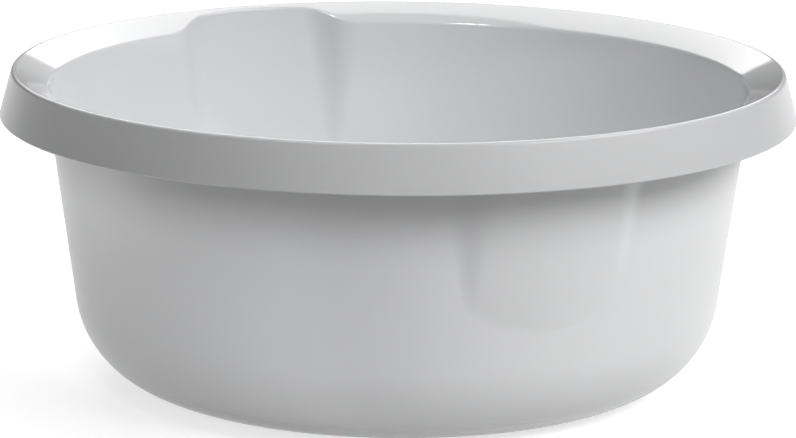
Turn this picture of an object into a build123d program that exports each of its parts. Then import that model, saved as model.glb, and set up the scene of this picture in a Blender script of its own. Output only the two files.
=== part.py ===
# Round washing up bowl with two opposite bays in its wall, moulded in one piece.
# Millimetres, +Z up. The origin is the middle of the base, on the surface that the bowl stands on.
# The bays lie on +Y and -Y. Each solid is one region of the single moulding, and they meet face to face.

import os
from math import atan2, cos, degrees, pi, radians, sin, sqrt, tan

from build123d import *

os.makedirs("parts", exist_ok=True)

# The moulding's wall
thickness = 1.9

# Base: a flat ring round a raised panel, with a shallow recess where the mould is fed
base_radius = 108.0
foot_width = 9.0
panel_rise = 1.5
step_run = 1.5
step_rounding = 1.0
gate_radius = 5.0
gate_depth = 0.5
pip_radius = 1.6
pip_height = 0.3

# Heel and side wall, to the outer skin, with the draft and the angle that parts the heel's halves in degrees
heel_radius = 46.8
heel_parting_angle = 42.0
wall_draft = 7.86

# Rim: heights and widths are to sharp corners, before they are rounded
crest_height = 152.9
rim_width = 17.2
mouth_drop = 8.7
crown_radius = 75.0
mouth_rounding = 3.0
under_rim_rounding = 1.2
crest_rounding_share = 0.85

# Skirt, turned down from the crest
skirt_drop = 22.8
skirt_flare = 6.2
skirt_edge_rounding_share = 0.35

# Bays, to the outer skin, with widths along the wall and the flank's angle in plan, in degrees
bay_foot_rise = 17.5
bay_width_at_crest = 98.0
bay_width_at_foot = 77.0
bay_panel_radius = 115.0
bay_corner_radius = 30.0
bay_flank_angle = 43.0
bay_skirt_clearance = 0.25

# Cuts run this far past what they cut
overrun = 6.0

# The panel starts where the flat foot and the step end
panel_radius = base_radius - foot_width - step_run

# The wall's two skins are straight in section and tangent to the heel's arcs
quarter_turn = degrees(pi / 2)
draft = radians(wall_draft)
heel_centre = (base_radius, heel_radius)
heel_top_radius = base_radius + heel_radius * cos(draft)
heel_top_height = heel_radius - heel_radius * sin(draft)
heel_top_inner_radius = base_radius + (heel_radius - thickness) * cos(draft)
heel_top_inner_height = heel_radius - (heel_radius - thickness) * sin(draft)


def axis_radius(height):
    """The bowl's axis, as a skin of no radius at any height."""
    return 0


def wall_radius(height):
    """Radius of the wall's outer skin at a height."""
    return heel_top_radius + (height - heel_top_height) * tan(draft)


def wall_inner_radius(height):
    """Radius of the wall's inner skin at a height."""
    return wall_radius(height) - thickness / cos(draft)


# The rim's top is one shallow arc from the mouth's corner up to the crest's corner
mouth_height = crest_height - mouth_drop
mouth_radius = wall_inner_radius(mouth_height)
mouth_corner = (mouth_radius, mouth_height)
crest_radius = mouth_radius + rim_width
crest_corner = (crest_radius, crest_height)
rim_length = sqrt(rim_width**2 + mouth_drop**2)
crown_depth = sqrt(crown_radius**2 - (rim_length / 2) ** 2)
crown_centre_radius = mouth_radius + rim_width / 2 + crown_depth * mouth_drop / rim_length
crown_centre_height = mouth_height + mouth_drop / 2 - crown_depth * rim_width / rim_length
crown_centre = (crown_centre_radius, crown_centre_height)
above_height = crest_height + overrun

# The skirt's two skins are straight in section, and its inner skin runs on up through the rim
skirt_lean = skirt_flare / skirt_drop
skirt_level_thickness = thickness * sqrt(1 + skirt_lean**2)
skirt_edge_height = crest_height - skirt_drop


def skirt_radius(height):
    """Radius of the skirt's outer skin at a height."""
    return crest_radius + (crest_height - height) * skirt_lean


def skirt_inner_radius(height):
    """Radius of the skirt's inner skin at a height."""
    return skirt_radius(height) - skirt_level_thickness


def fill_between(inner, outer, low, high):
    """Adds the section between two skins, each a radius at a height, from one level to another."""
    Polygon((inner(low), low), (outer(low), low), (outer(high), high), (inner(high), high), align=None)


# A bay's panel leans out from the wall's skin at the bay's foot to just clear of the skirt at the crest
bay_foot_height = heel_top_height + bay_foot_rise
bay_foot_radius = wall_radius(bay_foot_height)
bay_crest_radius = crest_radius - skirt_level_thickness - bay_skirt_clearance


def bay_rise_share(height):
    """How far up a bay a height is: 0 at its foot and 1 at the crest."""
    return (height - bay_foot_height) / (crest_height - bay_foot_height)


def bay_reach(height):
    """Distance of a bay's outer skin from the axis at a height, on the bay's middle line."""
    return bay_foot_radius + (bay_crest_radius - bay_foot_radius) * bay_rise_share(height)


def bay_half_width(height):
    """Half of a bay's width at a height, along the wall's outer skin."""
    return (bay_width_at_foot + (bay_width_at_crest - bay_width_at_foot) * bay_rise_share(height)) / 2


def bay_core(inset):
    """Solid that fills both bays out to a skin, set in by a distance, and on into the bowl.

    Its flanks run on through the wall by the corner radius, which leaves room for the corners' rounding.
    """
    flank = radians(bay_flank_angle)
    run_in_x = bay_corner_radius * cos(flank)
    run_in_y = bay_corner_radius * sin(flank)
    with BuildPart() as core:
        for height in (bay_foot_height - thickness, above_height):
            turn = bay_half_width(height) / wall_radius(height)
            corner_x = wall_radius(height) * sin(turn) - inset * sin(flank) + run_in_x
            corner_y = wall_radius(height) * cos(turn) - inset * cos(flank) - run_in_y
            ridge_y = corner_y + corner_x * tan(flank)
            with BuildSketch(Plane.XY.offset(height)) as outline:
                with Locations((0, bay_reach(height) - bay_panel_radius)):
                    Circle(bay_panel_radius - inset)
                with BuildLine():
                    Polyline((-corner_x, corner_y), (corner_x, corner_y), (0, ridge_y), close=True)
                make_face(mode=Mode.INTERSECT)
                fillet(outline.vertices().group_by(Axis.Y)[-1], bay_corner_radius - inset)
        loft(ruled=True)
        mirror(about=Plane.XZ)
    return core.part


bay_outside = bay_core(0)
bay_inside = bay_core(thickness)

# Base panel: raised disc, with a round recess and a pip underneath at its middle
step_shift = thickness * tan(atan2(panel_rise, step_run) / 2)
panel_top_radius = panel_radius + step_shift
panel_top_height = panel_rise + thickness
with BuildPart() as base_panel:
    with BuildSketch(Plane.XZ):
        with BuildLine():
            Polyline(
                (0, panel_rise),
                (panel_radius, panel_rise),
                (panel_top_radius, panel_top_height),
                (0, panel_top_height),
                close=True,
            )
        make_face()
    revolve(axis=Axis.Z)
    with BuildSketch(Plane.XY.offset(panel_rise)):
        Circle(gate_radius)
    extrude(amount=gate_depth, mode=Mode.SUBTRACT)
    with BuildSketch(Plane.XY.offset(panel_rise + gate_depth)):
        Circle(pip_radius)
    extrude(amount=-gate_depth - pip_height)
base_panel.part.label = "base_panel"

# Foot ring: flat ring that carries the bowl, with the small sloping step up to the panel
step_foot = (panel_radius + step_run, 0)
step_foot_above = (panel_top_radius + step_run, thickness)
with BuildPart() as foot_ring:
    with BuildSketch(Plane.XZ) as foot_section:
        with BuildLine():
            Polyline(
                (panel_radius, panel_rise),
                step_foot,
                (base_radius, 0),
                (base_radius, thickness),
                step_foot_above,
                (panel_top_radius, panel_top_height),
                close=True,
            )
        make_face()
        for corner in (step_foot, step_foot_above):
            fillet(foot_section.vertices().sort_by_distance(corner)[0], step_rounding)
    revolve(axis=Axis.Z)
foot_ring.part.label = "foot_ring"


def heel_section(start, sweep):
    """Section of the heel's round, one thickness deep, over a range of angles from straight down."""
    with BuildSketch(Plane.XZ) as section:
        with BuildLine():
            outer_arc = CenterArc(heel_centre, heel_radius, start - quarter_turn, sweep)
            inner_arc = CenterArc(heel_centre, heel_radius - thickness, start - quarter_turn, sweep)
            Line(outer_arc @ 0, inner_arc @ 0)
            Line(outer_arc @ 1, inner_arc @ 1)
        make_face()
    return section.sketch


lower_heel_section = heel_section(0, heel_parting_angle)
upper_heel_section = heel_section(heel_parting_angle, quarter_turn - wall_draft - heel_parting_angle)

# Lower heel: first half of the round corner, from the foot ring up
with BuildPart() as lower_heel:
    add(lower_heel_section)
    revolve(axis=Axis.Z)
lower_heel.part.label = "lower_heel"

# Upper heel: second half of the round corner, up to the wall
with BuildPart() as upper_heel:
    add(upper_heel_section)
    revolve(axis=Axis.Z)
upper_heel.part.label = "upper_heel"

# Wall: flared side up to just below the mouth's rounding, with the two bays standing out of it
wall_top_height = mouth_height - mouth_rounding - thickness
with BuildSketch(Plane.XZ) as bowl_space:
    fill_between(axis_radius, wall_inner_radius, bay_foot_height - overrun, above_height + overrun)
with BuildPart() as wall:
    with BuildSketch(Plane.XZ):
        with BuildLine():
            Polyline(
                (heel_top_radius, heel_top_height),
                (wall_radius(wall_top_height), wall_top_height),
                (wall_inner_radius(wall_top_height), wall_top_height),
                (heel_top_inner_radius, heel_top_inner_height),
                close=True,
            )
        make_face()
    revolve(axis=Axis.Z)
    add(bay_outside)
    add(bowl_space.sketch)
    revolve(axis=Axis.Z, mode=Mode.SUBTRACT)
    add(bay_inside, mode=Mode.SUBTRACT)
    split(bisect_by=Plane.XY.offset(wall_top_height), keep=Keep.BOTTOM)
wall.part.label = "wall"

# Rim flange: sloping top of the rim, the mouth's rounded edge, and the upper ends of the wall and bays
with BuildSketch(Plane.XZ) as under_rim:
    fill_between(wall_radius, skirt_inner_radius, skirt_edge_height, above_height)
    with Locations(crown_centre):
        Circle(crown_radius - thickness, mode=Mode.INTERSECT)
    fillet(under_rim.vertices().sort_by_distance(mouth_corner)[0], under_rim_rounding)
with BuildSketch(Plane.XZ) as sharp_rim:
    fill_between(wall_inner_radius, skirt_inner_radius, wall_top_height, above_height)
    with Locations(crown_centre):
        Circle(crown_radius, mode=Mode.INTERSECT)
    add(under_rim.sketch, mode=Mode.SUBTRACT)
with BuildSketch(Plane.XZ) as rounded_rim:
    add(sharp_rim.sketch)
    fillet(rounded_rim.vertices().sort_by_distance(mouth_corner)[0], mouth_rounding)
with BuildSketch(Plane.XZ) as mouth_waste:
    add(sharp_rim.sketch)
    add(rounded_rim.sketch, mode=Mode.SUBTRACT)
with BuildPart() as rim_flange:
    with BuildSketch(Plane.XZ):
        fill_between(axis_radius, skirt_inner_radius, wall_top_height, above_height)
        with Locations(crown_centre):
            Circle(crown_radius, mode=Mode.INTERSECT)
    revolve(axis=Axis.Z)
    add(bay_outside, mode=Mode.INTERSECT)
    add(rounded_rim.sketch)
    revolve(axis=Axis.Z)
    add(bowl_space.sketch)
    add(mouth_waste.sketch)
    revolve(axis=Axis.Z, mode=Mode.SUBTRACT)
    add(bay_inside, mode=Mode.SUBTRACT)
rim_flange.part.label = "rim_flange"

# Rim skirt: band turned down from the crest, open underneath so that fingers hook behind it
with BuildPart() as rim_skirt:
    with BuildSketch(Plane.XZ) as skirt_section:
        fill_between(skirt_inner_radius, skirt_radius, skirt_edge_height, above_height)
        with Locations(crown_centre):
            Circle(crown_radius, mode=Mode.INTERSECT)
        fillet(skirt_section.vertices().group_by(Axis.Y)[0], thickness * skirt_edge_rounding_share)
        fillet(skirt_section.vertices().sort_by_distance(crest_corner)[0], thickness * crest_rounding_share)
    revolve(axis=Axis.Z)
rim_skirt.part.label = "rim_skirt"

for piece in (base_panel, foot_ring, lower_heel, upper_heel, wall, rim_flange, rim_skirt):
    export_step(piece.part, f"parts/{piece.part.label}.step")
    size = piece.part.bounding_box().size
    print(piece.part.label, round(piece.part.volume), [round(side, 2) for side in size])
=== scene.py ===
import bpy
import numpy as np
from mathutils import Matrix, Vector


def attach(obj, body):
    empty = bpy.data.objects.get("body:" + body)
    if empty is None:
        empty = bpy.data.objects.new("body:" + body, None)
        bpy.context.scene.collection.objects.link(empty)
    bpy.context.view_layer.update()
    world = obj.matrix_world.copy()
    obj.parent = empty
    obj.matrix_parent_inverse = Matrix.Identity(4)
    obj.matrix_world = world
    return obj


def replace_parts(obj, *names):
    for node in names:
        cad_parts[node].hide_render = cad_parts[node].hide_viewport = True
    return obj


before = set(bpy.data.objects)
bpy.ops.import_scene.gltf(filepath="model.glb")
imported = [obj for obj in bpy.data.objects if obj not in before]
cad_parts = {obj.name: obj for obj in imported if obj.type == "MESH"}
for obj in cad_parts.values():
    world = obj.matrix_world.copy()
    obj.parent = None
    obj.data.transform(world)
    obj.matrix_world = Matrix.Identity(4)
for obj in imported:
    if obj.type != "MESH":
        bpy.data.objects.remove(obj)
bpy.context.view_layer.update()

# Base panel
# The raised disc in the middle of the bowl's floor. The whole bowl is one shot of light grey polypropylene,
# and this is where it enters the mould, which leaves a shallow round recess with a pip on the underside.
thickness = 0.0019
base_radius = 0.108
foot_width = 0.009
step_run = 0.0015
panel_rise = 0.0015
panel_radius = base_radius - foot_width - step_run
gate_radius = 0.005
gate_depth = 0.0005
pip_radius = 0.0016
pip_height = 0.0003
gate_edge = 0.0003
millimetre = 0.001

# Angles round the bowl, closer together where the two bays are, on +Y and -Y
steps = 640
crowding = 0.45
even_turn = np.linspace(0, 2 * np.pi, steps, endpoint=False)
angles = np.pi / 2 + even_turn - crowding / 2 * np.sin(2 * even_turn)


def spot(radius, height, angle):
    """Points at a radius and a height, turned about the bowl's upright axis to an angle."""
    radius, height, angle = np.broadcast_arrays(radius, height, angle)
    return np.stack((radius * np.cos(angle), radius * np.sin(angle), height), axis=-1)


def strip(line, shares):
    """Grid of points and outward normals over one part of the skin.

    line gives the radius and height at a share of the way along the part and an angle round the bowl. The
    normal is the way round crossed with the way along, each from a small step to both sides. It points out
    of the plastic when the parts run from under the base, up the outside, over the rim and down the inside.
    """
    share = np.asarray(shares, dtype=float)[:, None]
    small = 1e-4
    along = spot(*line(share + small, angles), angles) - spot(*line(share - small, angles), angles)
    after = angles + small
    before = angles - small
    about = spot(*line(share, after), after) - spot(*line(share, before), before)
    normal = np.cross(about, along)
    return spot(*line(share, angles), angles), normal / np.linalg.norm(normal, axis=-1, keepdims=True)


def skin(*strips):
    """One grid from strips that follow on. A strip's first row is the last of the one before, so it is
    left out."""
    return [np.concatenate([g if n == 0 else g[1:] for n, g in enumerate(grids)]) for grids in zip(*strips)]


def moulded(name, skins, poles=()):
    """Closed shell from its skins, which follow each other round the section.

    Rows of a skin are joined by four-sided faces with the skin's own normals, so no seam shows where two
    pieces meet. The cuts between skins are flat. poles are the heights of the middle points that close a
    disc.
    """
    points = np.concatenate([grid for grid, _ in skins]).reshape(-1, 3)
    normals = np.concatenate([grid for _, grid in skins]).reshape(-1, 3)
    rows = len(points) // steps
    ends = np.cumsum([len(grid) for grid, _ in skins])
    around = np.arange(steps)
    beside = np.roll(around, -1)
    low = np.arange(rows if not poles else rows - 1)
    high = (low + 1) % rows
    corners = [(low, around), (low, beside), (high, beside), (high, around)]
    quads = np.stack([row[:, None] * steps + column for row, column in corners], axis=-1).reshape(-1, 4)
    loops = normals[quads]
    cut = np.repeat(np.isin(low + 1, ends), steps)
    first, second, third, fourth = (points[quads[cut, corner]] for corner in range(4))
    across = np.cross(third - first, fourth - second)
    loops[cut] = (across / np.linalg.norm(across, axis=-1, keepdims=True))[:, None]
    faces = quads.tolist()
    loops = loops.reshape(-1, 3)
    for pole, (row, height) in enumerate(zip((0, rows - 1), poles)):
        points = np.vstack((points, (0, 0, height)))
        fan = [np.full(steps, len(points) - 1), row * steps + around, row * steps + beside]
        fan = np.stack(fan if pole else (fan[0], fan[2], fan[1]), axis=-1)
        faces += fan.tolist()
        loops = np.vstack((loops, np.tile((0, 0, 1.0 if pole else -1.0), (3 * steps, 1))))
    mesh = bpy.data.meshes.new(name)
    mesh.from_pydata(points.tolist(), [], faces)
    mesh.shade_smooth()
    mesh.normals_split_custom_set(loops.tolist())
    piece = bpy.data.objects.new(name, mesh)
    bpy.context.collection.objects.link(piece)
    piece.data.materials.append(plastic)
    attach(piece, "root")
    return piece


class Feed:
    """A value in a material. A sum or a product with another feed or a number adds a Math node, and node
    adds a node of any other kind: its settings first, and then the values or feeds of its inputs."""

    def __init__(self, tree, socket=None):
        self.tree = tree
        self.socket = socket

    def node(self, kind, settings, inputs, output=0):
        made = self.tree.nodes.new(kind)
        for name, value in settings.items():
            setattr(made, name, value)
        for name, value in inputs.items():
            if isinstance(value, Feed):
                self.tree.links.new(value.socket, made.inputs[name])
            else:
                made.inputs[name].default_value = value
        return Feed(self.tree, made.outputs[output] if made.outputs else None)

    def maths(self, operation, first, second):
        return self.node("ShaderNodeMath", {"operation": operation}, {0: first, 1: second})

    def __add__(self, other):
        return self.maths("ADD", self, other)

    __radd__ = __add__

    def __mul__(self, other):
        return self.maths("MULTIPLY", self, other)

    __rmul__ = __mul__


def new_material(name):
    """Empty material and the feed that its nodes are made from."""
    material = bpy.data.materials.new(name)
    material.use_nodes = True
    material.node_tree.nodes.clear()
    return material, Feed(material.node_tree)


def mottle(feed, place, scale, detail):
    """Soft random spots, as many to a metre as the scale says."""
    return feed.node("ShaderNodeTexNoise", {}, {"Vector": place, "Scale": scale, "Detail": detail}, "Fac")


plastic_grey = (0.6, 0.603, 0.612, 1)
plastic_pale = (0.625, 0.628, 0.636, 1)
refraction = 1.5
cloud_scale = 22.0
grain_scale = 900.0
sink_scale = 38.0
rub_scale = 260.0
# How high up the foot the rubbing reaches, and how far a face points outwards where it is fully matt
rub_height = 0.0006
matt_facing = 0.7
# Roughness and relief, and what each kind of spot adds to them
polished_roughness = 0.05
matt_roughness = 0.22
clouded_roughness = 0.05
rubbed_roughness = 0.5
grain_relief = 0.2
sink_relief = 3.0
rub_relief = 2.0
relief_strength = 0.35
relief_depth = 0.00006


def bowl_plastic():
    """Polypropylene, polished on the rim's top and inside, and fine matt where its face points away from the
    bowl's axis. It has slow clouds in its shade and gloss, a fine moulded grain, and a foot rubbed dull."""
    material, feed = new_material("bowl_plastic")
    place = feed.node("ShaderNodeTexCoord", {}, {}, "Object")
    clouds = mottle(feed, place, cloud_scale, detail=3.0)
    grain = mottle(feed, place, grain_scale, detail=2.0)
    sinks = mottle(feed, place, sink_scale, detail=1.0)
    height = feed.node("ShaderNodeSeparateXYZ", {}, {"Vector": place}, "Z")
    rub_spots = mottle(feed, place, rub_scale, detail=4.0)
    foot = feed.node(
        "ShaderNodeMapRange",
        {"interpolation_type": "SMOOTHSTEP"},
        {"Value": height, "From Max": rub_height, "To Min": 1.0, "To Max": 0.0},
    )
    rubbed = foot * rub_spots
    normal = feed.node("ShaderNodeTexCoord", {}, {}, "Normal")
    spoke = feed.node("ShaderNodeVectorMath", {"operation": "MULTIPLY"}, {0: place, 1: (1, 1, 0)}, "Vector")
    spoke = feed.node("ShaderNodeVectorMath", {"operation": "NORMALIZE"}, {0: spoke}, "Vector")
    facing = feed.node("ShaderNodeVectorMath", {"operation": "DOT_PRODUCT"}, {0: normal, 1: spoke}, "Value")
    matt = feed.node("ShaderNodeMapRange", {}, {"Value": facing, "From Max": matt_facing})
    shade = feed.node(
        "ShaderNodeMix",
        {"data_type": "RGBA"},
        {"Factor": clouds, "A": plastic_grey, "B": plastic_pale},
        "Result",
    )
    relief = grain * grain_relief + sinks * sink_relief + rubbed * rub_relief
    bump = feed.node(
        "ShaderNodeBump",
        {},
        {"Strength": relief_strength, "Distance": relief_depth, "Height": relief},
    )
    roughness = (
        polished_roughness + matt * matt_roughness + clouds * clouded_roughness + rubbed * rubbed_roughness
    )
    shader = feed.node(
        "ShaderNodeBsdfPrincipled",
        {},
        {"Base Color": shade, "Roughness": roughness, "IOR": refraction, "Normal": bump},
    )
    feed.node("ShaderNodeOutputMaterial", {}, {"Surface": shader})
    return material


plastic = bowl_plastic()


def ease(share):
    """S-shaped step from 0 to 1: three squares less two cubes of the share, level at both ends."""
    share = np.clip(share, 0, 1)
    return share * share * (3 - 2 * share)


def between(low, high, share):
    """The value a share of the way from one to another."""
    return low + (high - low) * share


def panel_underside(share, angle):
    """From beside the middle to the panel's edge: flat, less the recess's depth inside its radius, and
    back down inside the pip's radius, each over a soft edge."""
    radius = between(gate_edge, panel_radius, share)
    recess = gate_depth * (1 - ease((radius - gate_radius) / gate_edge))
    pip = (gate_depth + pip_height) * (1 - ease((radius - pip_radius) / gate_edge))
    return radius, panel_rise + recess - pip


panel_top_radius = panel_radius + thickness * np.tan(np.arctan2(panel_rise, step_run) / 2)
panel_top_height = panel_rise + thickness


def panel_top(share, angle):
    """Flat, from the panel's edge in to beside the middle."""
    return between(panel_top_radius, gate_edge, share), panel_top_height + 0 * share


# Rows in millimetres out from the middle's edge, close together at the pip and at the recess's edge
gate_rows = np.array([0, 1, 1.35, 1.6, 1.75, 1.9, 2.5, 4, 4.7, 4.85, 5, 5.15, 5.3, 6, 20, 60])
panel_rows = np.append(gate_rows * millimetre / (panel_radius - gate_edge), 1)
panel_top_rows = np.linspace(0, 1, 12)
base_panel = moulded(
    "moulded_base_panel",
    [strip(panel_underside, panel_rows), strip(panel_top, panel_top_rows)],
    poles=(panel_rise - pip_height, panel_top_height),
)
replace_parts(base_panel, "base_panel")

# Foot ring
# The flat ring that the bowl stands on, a little below the panel, in the same shot of plastic. A small
# S-shaped step joins the two, and its outer edge runs straight on into the heel's round.


def foot_underside(share, angle):
    """Down the step in an S, then level out to the base's radius."""
    radius = between(panel_radius, base_radius, share)
    return radius, panel_rise * (1 - ease((radius - panel_radius) / step_run))


def foot_top(share, angle):
    """The same S on the inside, from the base's radius in to the panel."""
    radius = between(base_radius, panel_top_radius, share)
    return radius, thickness + panel_rise * (1 - ease((radius - panel_top_radius) / step_run))


step_end = step_run / (base_radius - panel_radius)
step_rows = np.linspace(0, step_end, 10)
level_rows = np.linspace(step_end, 1, 6)
foot_rows = np.append(step_rows, level_rows[1:])
foot_ring = moulded(
    "moulded_foot_ring",
    [strip(foot_underside, foot_rows), strip(foot_top, 1 - foot_rows[::-1])],
)
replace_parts(foot_ring, "foot_ring")

# Lower and upper heel
# The round corner from the foot up to the wall, one thickness deep, in two halves that run on into each
# other. The bowl's inside and outside are arcs about the same centre.
heel_radius = 0.0468
heel_parting = np.radians(42.0)
draft = np.radians(7.86)
heel_end = np.pi / 2 - draft


def heel_arc(radius, start, end):
    """Line round the heel's centre at a radius, between two angles from straight down: the centre plus
    radius times sine and less radius times cosine."""

    def line(share, angle):
        turn = between(start, end, share)
        return base_radius + radius * np.sin(turn), heel_radius - radius * np.cos(turn)

    return line


heel_rows = np.linspace(0, 1, 22)
for part, start, end in (("lower_heel", 0, heel_parting), ("upper_heel", heel_parting, heel_end)):
    outside = strip(heel_arc(heel_radius, start, end), heel_rows)
    inside = strip(heel_arc(heel_radius - thickness, end, start), heel_rows)
    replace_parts(moulded(f"moulded_{part}", [outside, inside]), part)

# Wall
# The flared side, with a shallow bay pressed out on +Y and on -Y. A bay has a gently curved panel that leans
# out from a crisp U-shaped crease up to the rim, and two slanting flanks that fade into the wall near the
# top.
crest_height = 0.1529
rim_width = 0.0172
mouth_drop = 0.0087
skirt_drop = 0.0228
skirt_flare = 0.0062
bay_foot_rise = 0.0175
bay_width_at_crest = 0.098
bay_width_at_foot = 0.077
bay_panel_radius = 0.115
bay_flank_angle = np.radians(43.0)
bay_skirt_clearance = 0.00025
bay_corner_blend = 0.003
crease_blend_at_foot = 0.0001
crease_blend_at_crest = 0.004
heel_top_radius = base_radius + heel_radius * np.cos(draft)
heel_top_height = heel_radius - heel_radius * np.sin(draft)
mouth_height = crest_height - mouth_drop


def wall_radius(height):
    """Radius of the plain wall's outside at a height: a straight line at the draft's slope."""
    return heel_top_radius + (height - heel_top_height) * np.tan(draft)


mouth_radius = wall_radius(mouth_height) - thickness / np.cos(draft)
crest_radius = mouth_radius + rim_width
skirt_lean = skirt_flare / skirt_drop
skirt_level_thickness = thickness * np.sqrt(1 + skirt_lean**2)
bay_foot_height = heel_top_height + bay_foot_rise
bay_foot_radius = wall_radius(bay_foot_height)
bay_crest_radius = crest_radius - skirt_level_thickness - bay_skirt_clearance


def lower_of(first, second, blend):
    """The lower of two values, with the corner between them eased: less the square of what the blend has
    left over their difference, over four blends."""
    left = np.maximum(blend - np.abs(first - second), 0)
    return np.minimum(first, second) - left * left / (4 * blend)


def higher_of(first, second, blend):
    """The higher of two values, eased in the same way."""
    return -lower_of(-first, -second, blend)


def wall_skin(height, angle, inset):
    """Radius of the wall's skin at a height and an angle, set in from the outside by a distance.

    The panel is a circle in plan: its centre's reach along the angle, plus the root of its radius squared
    less the square of the reach across. The flank is a straight line in plan: its distance from the axis
    over the cosine of the angle from its square. The nearer of these two is the bay, and the further of bay
    and wall shows.
    """
    off = np.arctan2(np.abs(np.cos(angle)), np.abs(np.sin(angle)))
    rise = (height - bay_foot_height) / (crest_height - bay_foot_height)
    centre = between(bay_foot_radius, bay_crest_radius, rise) - bay_panel_radius
    reach_across = centre * np.sin(off)
    panel = centre * np.cos(off) + np.sqrt((bay_panel_radius - inset) ** 2 - reach_across**2)
    plain = wall_radius(height)
    turn = between(bay_width_at_foot, bay_width_at_crest, rise) / 2 / plain
    flank = (plain * np.cos(bay_flank_angle - turn) - inset) / np.cos(bay_flank_angle - off)
    bay = lower_of(panel, flank, bay_corner_blend)
    crease = between(crease_blend_at_foot, crease_blend_at_crest, np.clip(rise, 0, 1))
    return higher_of(plain - inset / np.cos(draft), bay, crease)


def wall_line(inset, start, end):
    """Line up or down the wall's skin between two heights, which may depend on the angle."""

    def line(share, angle):
        low = start(angle) if callable(start) else start
        high = end(angle) if callable(end) else end
        height = between(low, high, share)
        return wall_skin(height, angle, inset), height

    return line


mouth_rounding_allowance = 0.003
wall_top_height = mouth_height - mouth_rounding_allowance - thickness
# Each stretch of the wall's height: where it starts and ends, and its rows, closest where the bays begin
wall_stretches = ((0, 0.16, 9), (0.16, 0.33, 22), (0.33, 1, 34))
wall_rows = np.unique(np.concatenate([np.linspace(*stretch) for stretch in wall_stretches]))
wall = moulded(
    "moulded_wall",
    [
        strip(wall_line(0, heel_top_height, wall_top_height), wall_rows),
        strip(wall_line(thickness, wall_top_height, heel_top_height), 1 - wall_rows[::-1]),
    ],
)
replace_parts(wall, "wall")

# Rim flange
# The sloping top of the rim, from the mouth's rounded edge nearly out to the crest. It is slightly crowned,
# and it narrows to a thin lip over the bays, where the panels run up into it.
crown_radius = 0.075
mouth_rounding = 0.003
bay_mouth_rounding = 0.0018
under_rim_rounding = 0.0012
settling_rounds = 12
rim_length = np.hypot(rim_width, mouth_drop)
crown_depth = np.sqrt(crown_radius**2 - (rim_length / 2) ** 2)
crown_centre_radius = mouth_radius + rim_width / 2 + crown_depth * mouth_drop / rim_length
crown_centre_height = mouth_height + mouth_drop / 2 - crown_depth * rim_width / rim_length


def crown(radius, inset):
    """Height and outward way of the rim's top at a radius: a circle about the crown's centre, set in from
    the top by a distance, and the way square to its spoke."""
    size = crown_radius - inset
    rise = np.sqrt(size**2 - (radius - crown_centre_radius) ** 2)
    return crown_centre_height + rise, (rise / size, (crown_centre_radius - radius) / size)


def wall_way(height, angle, inset):
    """Upward way along the wall's skin, from its radius a small step above and below."""
    small = 1e-5
    lean = (wall_skin(height + small, angle, inset) - wall_skin(height - small, angle, inset)) / (2 * small)
    return lean / np.hypot(lean, 1), 1 / np.hypot(lean, 1)


def meeting_height(radius_at, inset):
    """Height where a skin meets the rim's top or underside: the crown's height at the skin's radius,
    taken again and again until it settles."""
    height = mouth_height + 0 * radius_at(mouth_height)
    for _ in range(settling_rounds):
        height = crown(radius_at(height), inset)[0]
    return height


def bend(share, start, start_way, end, end_way):
    """Rounded corner from one point and way to another: a conic pulled to where the two straight lines
    cross, with the cosine of half the turn as the pull's weight, which is a true arc when both ends are
    as far from it."""
    across = start_way[0] * end_way[1] - start_way[1] * end_way[0]
    run = ((end[0] - start[0]) * end_way[1] - (end[1] - start[1]) * end_way[0]) / across
    weight = np.sqrt((1 + start_way[0] * end_way[0] + start_way[1] * end_way[1]) / 2)
    shares = (1 - share) ** 2, 2 * share * (1 - share) * weight, share**2
    whole = sum(shares)
    middle = [start[axis] + run * start_way[axis] for axis in (0, 1)]
    return [(shares[0] * start[n] + shares[1] * middle[n] + shares[2] * end[n]) / whole for n in (0, 1)]


def half_turn_run(rounding, way, next_way):
    """How far from a corner its rounding starts: the rounding times the tangent of half the turn."""
    cosine = way[0] * next_way[0] + way[1] * next_way[1]
    return rounding * np.sqrt((1 - cosine) / (1 + cosine))


def mouth_corner(angle):
    """The ends of the mouth's rounding: on the rim's top and on the wall's inside, each with its way
    onward. The rounding is tighter in the bays, where the corner lies further out."""
    corner_height = meeting_height(lambda height: wall_skin(height, angle, thickness), 0)
    corner_radius = wall_skin(corner_height, angle, thickness)
    out = np.clip((corner_radius - mouth_radius) / (bay_crest_radius - thickness - mouth_radius), 0, 1)
    rounding = between(mouth_rounding, bay_mouth_rounding, ease(out))
    outward = crown(corner_radius, 0)[1]
    upward = wall_way(corner_height, angle, thickness)
    run = half_turn_run(rounding, (-outward[0], -outward[1]), (-upward[0], -upward[1]))
    top_radius = corner_radius + run * outward[0]
    top_height, top_way = crown(top_radius, 0)
    low_height = corner_height - run * upward[1]
    low_way = wall_way(low_height, angle, thickness)
    low_radius = wall_skin(low_height, angle, thickness)
    top = (top_radius, top_height), (-top_way[0], -top_way[1])
    low = (low_radius, low_height), (-low_way[0], -low_way[1])
    return top + low


def under_corner(angle):
    """The ends of the hollow rounding under the rim: on the wall's outside and on the flange's underside."""
    corner_height = meeting_height(lambda height: wall_skin(height, angle, 0), thickness)
    corner_radius = wall_skin(corner_height, angle, 0)
    outward = crown(corner_radius, thickness)[1]
    run = half_turn_run(under_rim_rounding, wall_way(corner_height, angle, 0), outward)
    low_height = corner_height - run * wall_way(corner_height, angle, 0)[1]
    far_radius = corner_radius + run * outward[0]
    far_height, far_way = crown(far_radius, thickness)
    low = wall_skin(low_height, angle, 0), low_height
    return low, wall_way(low_height, angle, 0), (far_radius, far_height), far_way


def skirt_inner_radius(height):
    """Radius of the skirt's inside at a height: a straight line that leans out going down."""
    return crest_radius + (crest_height - height) * skirt_lean - skirt_level_thickness


skirt_root_radius = skirt_inner_radius(meeting_height(skirt_inner_radius, thickness))
skirt_top_radius = skirt_inner_radius(meeting_height(skirt_inner_radius, 0))


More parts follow.
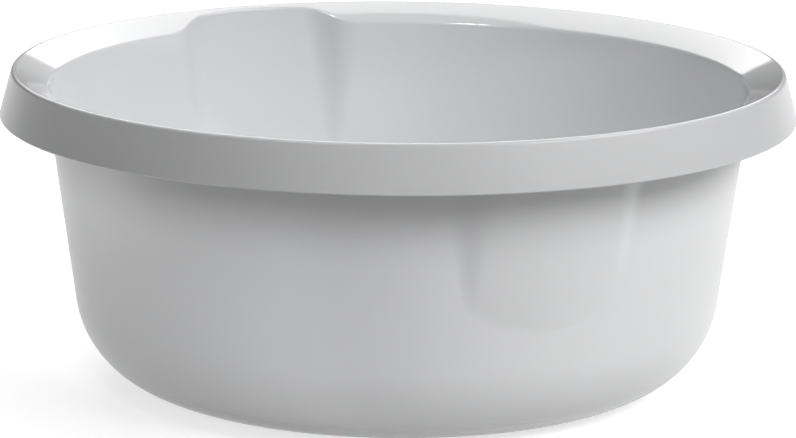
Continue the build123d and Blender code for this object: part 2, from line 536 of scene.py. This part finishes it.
def crown_line(inset, start, end):
    """Line along the rim's top or underside between two radii, which may depend on the angle."""

    def line(share, angle):
        first = start(angle) if callable(start) else start
        last = end(angle) if callable(end) else end
        radius = between(first, last, share)
        return radius, crown(radius, inset)[0]

    return line


fine_rows = np.linspace(0, 1, 13)
few_rows = np.linspace(0, 1, 7)
flange_below = skin(
    strip(wall_line(0, wall_top_height, lambda angle: under_corner(angle)[0][1]), few_rows),
    strip(lambda share, angle: bend(share, *under_corner(angle)), few_rows),
    strip(crown_line(thickness, lambda angle: under_corner(angle)[2][0], skirt_root_radius), few_rows),
)
flange_above = skin(
    strip(crown_line(0, skirt_top_radius, lambda angle: mouth_corner(angle)[0][0]), fine_rows),
    strip(lambda share, angle: bend(share, *mouth_corner(angle)), fine_rows),
    strip(wall_line(thickness, lambda angle: mouth_corner(angle)[2][1], wall_top_height), fine_rows),
)
rim_flange = moulded("moulded_rim_flange", [flange_below, flange_above])
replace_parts(rim_flange, "rim_flange")

# Rim skirt
# The band turned down from the crest round the outside of the rim. It stiffens the mouth, and fingers hook
# behind it to carry the bowl. It is open underneath, with softly rounded edges.
crest_rounding = 0.002
skirt_edge_rounding = 0.0007
skirt_edge_height = crest_height - skirt_drop


def skirt_radius(height):
    """Radius of the skirt's outside at a height."""
    return skirt_inner_radius(height) + skirt_level_thickness


def skirt_line(radius_at, start, end):
    """Straight line down the skirt's inside or up its outside."""

    def line(share, angle):
        height = between(start, end, share)
        return radius_at(height), height

    return line


skirt_way = skirt_lean / np.hypot(skirt_lean, 1), -1 / np.hypot(skirt_lean, 1)
skirt_back = -skirt_way[0], -skirt_way[1]
outward = 1.0, 0.0
crest_way = crown(crest_radius, 0)[1]
inner_run = half_turn_run(skirt_edge_rounding, skirt_way, outward)
outer_run = half_turn_run(skirt_edge_rounding, outward, skirt_back)
crest_run = half_turn_run(crest_rounding, skirt_back, (-crest_way[0], -crest_way[1]))
inner_edge_height = skirt_edge_height - inner_run * skirt_way[1]
outer_edge_height = skirt_edge_height - outer_run * skirt_way[1]
crest_low_height = crest_height + crest_run * skirt_way[1]
edge_inner_radius = skirt_inner_radius(skirt_edge_height) + inner_run
edge_outer_radius = skirt_radius(skirt_edge_height) - outer_run
crest_in_radius = crest_radius - crest_run * crest_way[0]
crest_in_height, crest_in_way = crown(crest_in_radius, 0)
skirt_root_height = meeting_height(skirt_inner_radius, thickness)


def inner_edge(share, angle):
    """Bend from the skirt's inside to its flat lower edge."""
    start = skirt_inner_radius(inner_edge_height), inner_edge_height
    return bend(share, start, skirt_way, (edge_inner_radius, skirt_edge_height), outward)


def flat_edge(share, angle):
    """The level lower edge between its two bends."""
    return between(edge_inner_radius, edge_outer_radius, share), skirt_edge_height + 0 * share


def outer_edge(share, angle):
    """Bend from the lower edge up the skirt's outside."""
    end = skirt_radius(outer_edge_height), outer_edge_height
    return bend(share, (edge_outer_radius, skirt_edge_height), outward, end, skirt_back)


def crest_bend(share, angle):
    """Bend over the crest, from the skirt's outside to the rim's top."""
    start = skirt_radius(crest_low_height), crest_low_height
    inward = -crest_in_way[0], -crest_in_way[1]
    return bend(share, start, skirt_back, (crest_in_radius, crest_in_height), inward)


skirt_skin = skin(
    strip(skirt_line(skirt_inner_radius, skirt_root_height, inner_edge_height), fine_rows),
    strip(inner_edge, few_rows),
    strip(flat_edge, few_rows[::3]),
    strip(outer_edge, few_rows),
    strip(skirt_line(skirt_radius, outer_edge_height, crest_low_height), fine_rows),
    strip(crest_bend, fine_rows),
    strip(crown_line(0, crest_in_radius, skirt_top_radius), few_rows[::3]),
)
rim_skirt = moulded("moulded_rim_skirt", [skirt_skin])
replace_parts(rim_skirt, "rim_skirt")

# Floor
# A plain white studio floor. Where the camera or a gloss sees it, it is lifted to a clean white, and the
# bowl's shadow stays on it.
floor_half_width = 12.0
floor_drop = 0.00005
floor_colour = (0.62, 0.62, 0.62, 1)
floor_lift = 0.7


def floor_material():
    """Matt white, with a little light of its own added for camera, gloss and transmission rays only."""
    material, feed = new_material("studio_floor")
    rays = [
        feed.node("ShaderNodeLightPath", {}, {}, ray)
        for ray in ("Is Camera Ray", "Is Glossy Ray", "Is Transmission Ray")
    ]
    seen = rays[0] + rays[1] + rays[2]
    matt = feed.node("ShaderNodeBsdfDiffuse", {}, {"Color": floor_colour})
    lift = feed.node("ShaderNodeEmission", {}, {"Color": (1, 1, 1, 1), "Strength": seen * floor_lift})
    both = feed.node("ShaderNodeAddShader", {}, {0: matt, 1: lift})
    feed.node("ShaderNodeOutputMaterial", {}, {"Surface": both})
    return material


floor_mesh = bpy.data.meshes.new("studio_floor")
floor_ends = [(-1, -1), (1, -1), (1, 1), (-1, 1)]
floor_corners = [(x * floor_half_width, y * floor_half_width, -floor_drop) for x, y in floor_ends]
floor_mesh.from_pydata(floor_corners, [], [(0, 1, 2, 3)])
floor = bpy.data.objects.new("studio_floor", floor_mesh)
bpy.context.collection.objects.link(floor)
floor.data.materials.append(floor_material())

# Camera
# A long lens, two metres from the bowl and a little above the rim, turned so that the near bay is right of
# the middle. It is rolled half a degree, as the photograph is.
camera_turn = np.radians(-25.2)
camera_rise = 0.2218
camera_distance = 2.0
camera_aim_height = 0.0773
camera_aim_right = 0.0003
camera_roll = 0.0089
sensor_width = 36.0
picture_width_pixels = 796
focal_length_pixels = 4155.2


def way_to(turn, rise):
    """Unit way from the bowl to a turn about the upright axis, from -Y, and a rise, both in radians."""
    return Vector((np.sin(turn) * np.cos(rise), -np.cos(turn) * np.cos(rise), np.sin(rise)))


upward = Vector((0, 0, 1))
rightward = way_to(camera_turn + np.pi / 2, 0)
nearer = way_to(camera_turn, 0)


def from_bowl(right, near, high):
    """Place given as how far right of the bowl's middle, how far towards the camera and how high it is."""
    return rightward * right + nearer * near + upward * high


def stand(thing, place, point, roll=0.0):
    """Puts a camera or a light into the scene at one place, pointing at another and rolled by an angle."""
    holder = bpy.data.objects.new(thing.name, thing)
    turned = (place - point).to_track_quat("Z", "Y").to_matrix().to_4x4()
    holder.matrix_world = Matrix.Translation(place) @ turned @ Matrix.Rotation(roll, 4, "Z")
    bpy.context.collection.objects.link(holder)
    return holder


aim = from_bowl(camera_aim_right, 0, camera_aim_height)
lens = bpy.data.cameras.new("camera")
lens.sensor_width = sensor_width
lens.lens = sensor_width * focal_length_pixels / picture_width_pixels
sight = way_to(camera_turn, camera_rise)
bpy.context.scene.camera = stand(lens, aim + sight * camera_distance, aim, camera_roll)

# Lights
# A broad soft source behind and above the bowl, whose lower edge draws the bright line on the rim's ends,
# and a key and a fill from the front. Snooted lamps lift the inside and the floor at the left, gridded ones
# lift the wall below the skirt, and the room is pale.
softbox_distance = 3.0
grid_distance = 0.9
grid_middle = 0.058
grid_height = 0.1
grid_spread = 3
room_strength = 0.06


def panel_light(name, width, height, power):
    """Rectangular light with an even face."""
    light = bpy.data.lights.new(name, "AREA")
    light.shape = "RECTANGLE"
    light.size = width
    light.size_y = height
    light.energy = power
    return light


def softbox(name, turn, rise, width, height, strength):
    """Soft light at a turn from the camera's side and a rise, in degrees, facing the bowl's foot. Its
    strength is the brightness of its face, so its power is that times its area and pi."""
    place = way_to(camera_turn + np.radians(turn), np.radians(rise)) * softbox_distance
    stand(panel_light(name, width, height, strength * width * height * np.pi), place, Vector())


def gridded(name, turn, aside, width, power):
    """Light behind a narrow grid, at a turn from the camera's side and moved to its own right. Its beam
    is level and fades out below the skirt."""
    turn = camera_turn + np.radians(turn)
    point = way_to(turn + np.pi / 2, 0) * aside + upward * grid_middle
    light = panel_light(name, width, grid_height, power)
    light.spread = np.radians(grid_spread)
    stand(light, point + way_to(turn, 0) * grid_distance, point)


def snooted(name, place, point, radius, cone, power):
    """Round lamp in a snoot at one place, pointing at another, with a beam as wide as its cone's angle."""
    light = bpy.data.lights.new(name, "SPOT")
    light.shadow_soft_size = radius
    light.spot_size = np.radians(cone)
    light.spot_blend = 1.0
    light.energy = power
    stand(light, from_bowl(*place), from_bowl(*point))


softbox("back_light", turn=180, rise=42.5, width=2.6, height=2.6, strength=2.8)
softbox("key_light", turn=60, rise=37.5, width=2.6, height=1.2, strength=6.9)
softbox("fill_light", turn=-18, rise=29, width=2.2, height=0.6, strength=1.7)
gridded("wall_light_right", turn=25, aside=0.0, width=0.4, power=0.0329)
gridded("wall_light_left", turn=-50, aside=-0.08, width=0.36, power=0.0162)
snooted("inside_light", (-0.3, 0.42, 0.9), (0.06, -0.11, 0.01), radius=0.1, cone=26, power=18.0)
snooted("inside_left_light", (0.5, 0.15, 0.9), (-0.15, 0.0, 0.03), radius=0.1, cone=22, power=15.0)
snooted("floor_light", (-0.55, 0, 0.7), (-0.55, 0, 0), radius=0.08, cone=42, power=42.0)

world = bpy.data.worlds.new("pale_room")
bpy.context.scene.world = world
world.use_nodes = True
world.node_tree.nodes.clear()
room = Feed(world.node_tree)
surround = room.node("ShaderNodeBackground", {}, {"Color": (1, 1, 1, 1), "Strength": room_strength})
room.node("ShaderNodeOutputWorld", {}, {"Surface": surround})

bpy.context.scene.view_settings.view_transform = "Standard"
